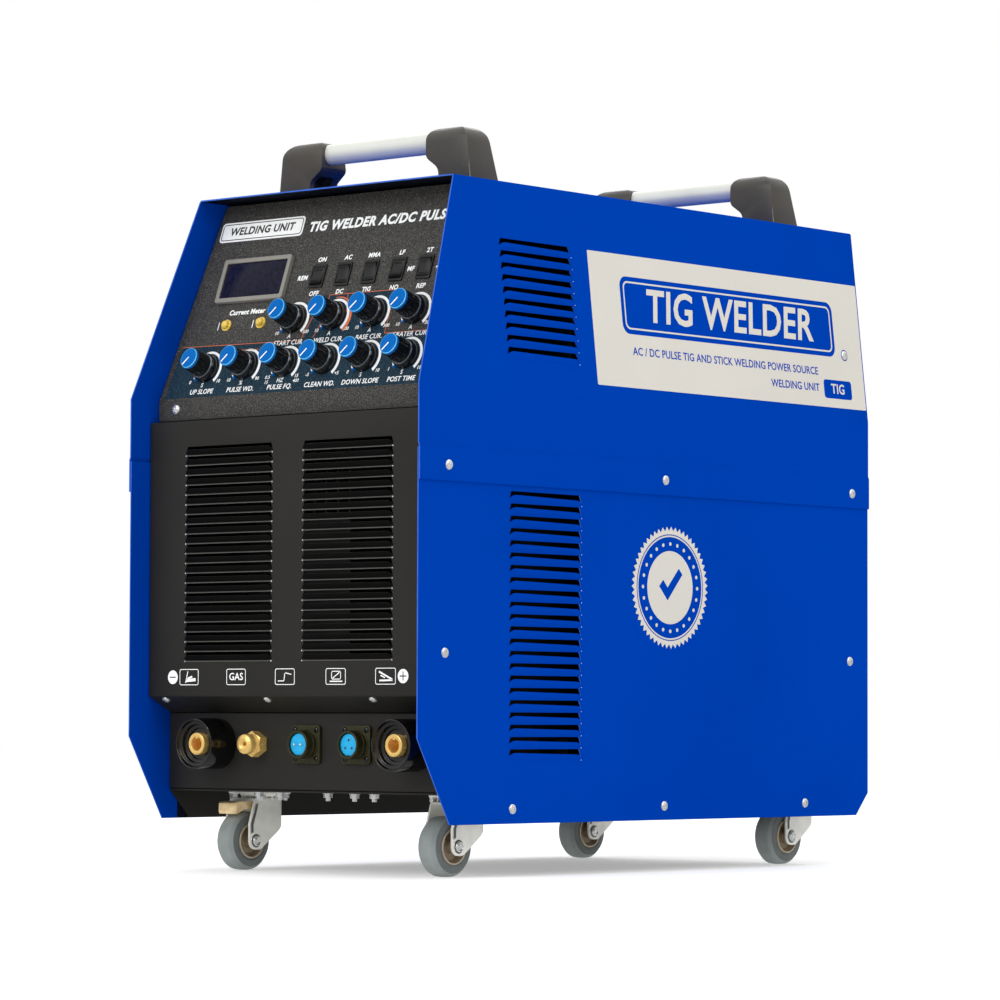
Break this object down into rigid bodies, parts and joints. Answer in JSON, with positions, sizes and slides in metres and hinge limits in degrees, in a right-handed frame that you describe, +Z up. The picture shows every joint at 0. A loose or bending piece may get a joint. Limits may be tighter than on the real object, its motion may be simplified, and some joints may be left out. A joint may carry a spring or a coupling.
{
  "type": "tig welding machine",
  "caption": "Sheet-steel cased TIG welding power source on swivel castors, with a sloping knob panel, vented front, cable sockets, two grab handles and a rear fan.",
  "frame": {"origin": "centre of the bounding box, on the floor under the castor wheels", "axes": "+X to the right seen from the front, +Y from the front panel to the rear, +Z up"},
  "size_m": [0.3356, 0.616, 0.627],
  "materials": {
    "blue_enamel": "smooth semi-gloss blue enamel on sheet steel",
    "black_enamel": "satin black enamel on sheet steel",
    "panel_grey": "dark grey speckled printed panel",
    "handle_plastic": "dark grey moulded plastic with a fine grain",
    "satin_aluminium": "satin anodised tube",
    "zinc_plate": "bright zinc plate",
    "grey_tyre": "grey rubber tyre moulded on a brown hub",
    "yellow_zinc": "yellow passivated zinc plate",
    "knob_plastic": "black fluted knob with an azure cap",
    "black_plastic": "black moulded plastic",
    "meter_grey": "warm grey moulded plastic",
    "brass": "turned brass",
    "olive_shell": "olive drab plated connector shell",
    "raw_aluminium": "extruded aluminium",
    "copper_windings": "varnished laminated core and taped windings",
    "green_board": "green circuit board"
  },
  "bodies": {
    "chassis": {"upper_cover": "blue_enamel", "lower_cover_left": "blue_enamel", "lower_cover_right": "blue_enamel", "base_tray": "black_enamel", "vent_panel": "black_enamel", "connector_panel": "black_enamel", "rear_panel": "black_enamel", "control_panel": "panel_grey", "handle_bracket_front_left": "handle_plastic", "handle_bracket_front_right": "handle_plastic", "handle_tube_front": "satin_aluminium", "handle_bracket_rear_left": "handle_plastic", "handle_bracket_rear_right": "handle_plastic", "handle_tube_rear": "satin_aluminium", "castor_plate_front_left": "zinc_plate", "castor_plate_front_right": "zinc_plate", "castor_plate_rear_left": "zinc_plate", "castor_plate_rear_right": "zinc_plate", "meter_bezel": "meter_grey", "output_socket_negative": "black_plastic", "output_socket_positive": "black_plastic", "gas_outlet": "brass", "gas_inlet": "brass", "torch_connector": "olive_shell", "remote_connector": "olive_shell", "fan_frame": "black_plastic", "fan_guard": "zinc_plate", "breaker_body": "black_plastic", "cable_gland": "black_plastic", "heat_sink": "raw_aluminium", "transformer": "copper_windings", "control_board": "green_board", "gas_valve": "brass"},
    "castor_front_left": {"castor_fork_front_left": "zinc_plate"},
    "wheel_front_left": {"castor_wheel_front_left": "grey_tyre"},
    "castor_front_right": {"castor_fork_front_right": "zinc_plate"},
    "wheel_front_right": {"castor_wheel_front_right": "grey_tyre"},
    "castor_rear_left": {"castor_fork_rear_left": "zinc_plate"},
    "wheel_rear_left": {"castor_wheel_rear_left": "grey_tyre"},
    "castor_rear_right": {"castor_fork_rear_right": "zinc_plate"},
    "wheel_rear_right": {"castor_wheel_rear_right": "grey_tyre"},
    "brake": {"brake_pedal": "yellow_zinc"},
    "knob_lower_1": {"knob_lower_1": "knob_plastic"},
    "knob_lower_2": {"knob_lower_2": "knob_plastic"},
    "knob_lower_3": {"knob_lower_3": "knob_plastic"},
    "knob_lower_4": {"knob_lower_4": "knob_plastic"},
    "knob_lower_5": {"knob_lower_5": "knob_plastic"},
    "knob_lower_6": {"knob_lower_6": "knob_plastic"},
    "knob_upper_1": {"knob_upper_1": "knob_plastic"},
    "knob_upper_2": {"knob_upper_2": "knob_plastic"},
    "knob_upper_3": {"knob_upper_3": "knob_plastic"},
    "knob_upper_4": {"knob_upper_4": "knob_plastic"},
    "rocker_switch_1": {"rocker_switch_1": "black_plastic"},
    "rocker_switch_2": {"rocker_switch_2": "black_plastic"},
    "rocker_switch_3": {"rocker_switch_3": "black_plastic"},
    "rocker_switch_4": {"rocker_switch_4": "black_plastic"},
    "rocker_switch_5": {"rocker_switch_5": "black_plastic"},
    "fan_rotor": {"fan_rotor": "black_plastic"},
    "breaker_lever": {"breaker_lever": "meter_grey"}
  },
  "joints": [
    {"name": "swivel_front_left", "type": "hinge", "parent": "chassis", "child": "castor_front_left", "pos_m": [-0.115, -0.198, 0.0677], "axis": [0, 0, 1], "continuous": true},
    {"name": "roll_front_left", "type": "hinge", "parent": "castor_front_left", "child": "wheel_front_left", "pos_m": [-0.115, -0.218, 0.025], "axis": [1, 0, 0], "continuous": true},
    {"name": "swivel_front_right", "type": "hinge", "parent": "chassis", "child": "castor_front_right", "pos_m": [0.115, -0.198, 0.0677], "axis": [0, 0, 1], "continuous": true},
    {"name": "roll_front_right", "type": "hinge", "parent": "castor_front_right", "child": "wheel_front_right", "pos_m": [0.115, -0.218, 0.025], "axis": [1, 0, 0], "continuous": true},
    {"name": "swivel_rear_left", "type": "hinge", "parent": "chassis", "child": "castor_rear_left", "pos_m": [-0.115, 0.258, 0.0677], "axis": [0, 0, 1], "continuous": true},
    {"name": "roll_rear_left", "type": "hinge", "parent": "castor_rear_left", "child": "wheel_rear_left", "pos_m": [-0.115, 0.238, 0.025], "axis": [1, 0, 0], "continuous": true},
    {"name": "swivel_rear_right", "type": "hinge", "parent": "chassis", "child": "castor_rear_right", "pos_m": [0.115, 0.258, 0.0677], "axis": [0, 0, 1], "continuous": true},
    {"name": "roll_rear_right", "type": "hinge", "parent": "castor_rear_right", "child": "wheel_rear_right", "pos_m": [0.115, 0.238, 0.025], "axis": [1, 0, 0], "continuous": true},
    {"name": "brake_press", "type": "hinge", "parent": "castor_front_left", "child": "brake", "pos_m": [-0.115, -0.21, 0.0552], "axis": [1, 0, 0], "range_deg": [0, 7]},
    {"name": "turn_lower_1", "type": "hinge", "parent": "chassis", "child": "knob_lower_1", "pos_m": [-0.114, -0.26669, 0.42687], "axis": [0, 0.9409, -0.3387], "range_deg": [0, 270]},
    {"name": "turn_lower_2", "type": "hinge", "parent": "chassis", "child": "knob_lower_2", "pos_m": [-0.0683, -0.26669, 0.42687], "axis": [0, 0.9409, -0.3387], "range_deg": [0, 270]},
    {"name": "turn_lower_3", "type": "hinge", "parent": "chassis", "child": "knob_lower_3", "pos_m": [-0.0226, -0.26669, 0.42687], "axis": [0, 0.9409, -0.3387], "range_deg": [0, 270]},
    {"name": "turn_lower_4", "type": "hinge", "parent": "chassis", "child": "knob_lower_4", "pos_m": [0.0231, -0.26669, 0.42687], "axis": [0, 0.9409, -0.3387], "range_deg": [0, 270]},
    {"name": "turn_lower_5", "type": "hinge", "parent": "chassis", "child": "knob_lower_5", "pos_m": [0.0688, -0.26669, 0.42687], "axis": [0, 0.9409, -0.3387], "range_deg": [0, 270]},
    {"name": "turn_lower_6", "type": "hinge", "parent": "chassis", "child": "knob_lower_6", "pos_m": [0.1145, -0.26669, 0.42687], "axis": [0, 0.9409, -0.3387], "range_deg": [0, 270]},
    {"name": "turn_upper_1", "type": "hinge", "parent": "chassis", "child": "knob_upper_1", "pos_m": [-0.0253, -0.25297, 0.46498], "axis": [0, 0.9409, -0.3387], "range_deg": [0, 270]},
    {"name": "turn_upper_2", "type": "hinge", "parent": "chassis", "child": "knob_upper_2", "pos_m": [0.0204, -0.25297, 0.46498], "axis": [0, 0.9409, -0.3387], "range_deg": [0, 270]},
    {"name": "turn_upper_3", "type": "hinge", "parent": "chassis", "child": "knob_upper_3", "pos_m": [0.0661, -0.25297, 0.46498], "axis": [0, 0.9409, -0.3387], "range_deg": [0, 270]},
    {"name": "turn_upper_4", "type": "hinge", "parent": "chassis", "child": "knob_upper_4", "pos_m": [0.1118, -0.25297, 0.46498], "axis": [0, 0.9409, -0.3387], "range_deg": [0, 270]},
    {"name": "rock_1", "type": "hinge", "parent": "chassis", "child": "rocker_switch_1", "pos_m": [-0.0103, -0.23919, 0.50147], "axis": [1, 0, 0], "range_deg": [0, 14]},
    {"name": "rock_2", "type": "hinge", "parent": "chassis", "child": "rocker_switch_2", "pos_m": [0.019, -0.23919, 0.50147], "axis": [1, 0, 0], "range_deg": [-14, 0]},
    {"name": "rock_3", "type": "hinge", "parent": "chassis", "child": "rocker_switch_3", "pos_m": [0.0495, -0.23919, 0.50147], "axis": [1, 0, 0], "range_deg": [-14, 0]},
    {"name": "rock_4", "type": "hinge", "parent": "chassis", "child": "rocker_switch_4", "pos_m": [0.08, -0.23919, 0.50147], "axis": [1, 0, 0], "range_deg": [0, 14]},
    {"name": "rock_5", "type": "hinge", "parent": "chassis", "child": "rocker_switch_5", "pos_m": [0.1105, -0.23919, 0.50147], "axis": [1, 0, 0], "range_deg": [-14, 0]},
    {"name": "fan_spin", "type": "hinge", "parent": "chassis", "child": "fan_rotor", "pos_m": [0, 0.2635, 0.249], "axis": [0, 1, 0], "continuous": true},
    {"name": "breaker_throw", "type": "hinge", "parent": "chassis", "child": "breaker_lever", "pos_m": [0.07, 0.282, 0.469], "axis": [1, 0, 0], "range_deg": [0, 76]}
  ]
}
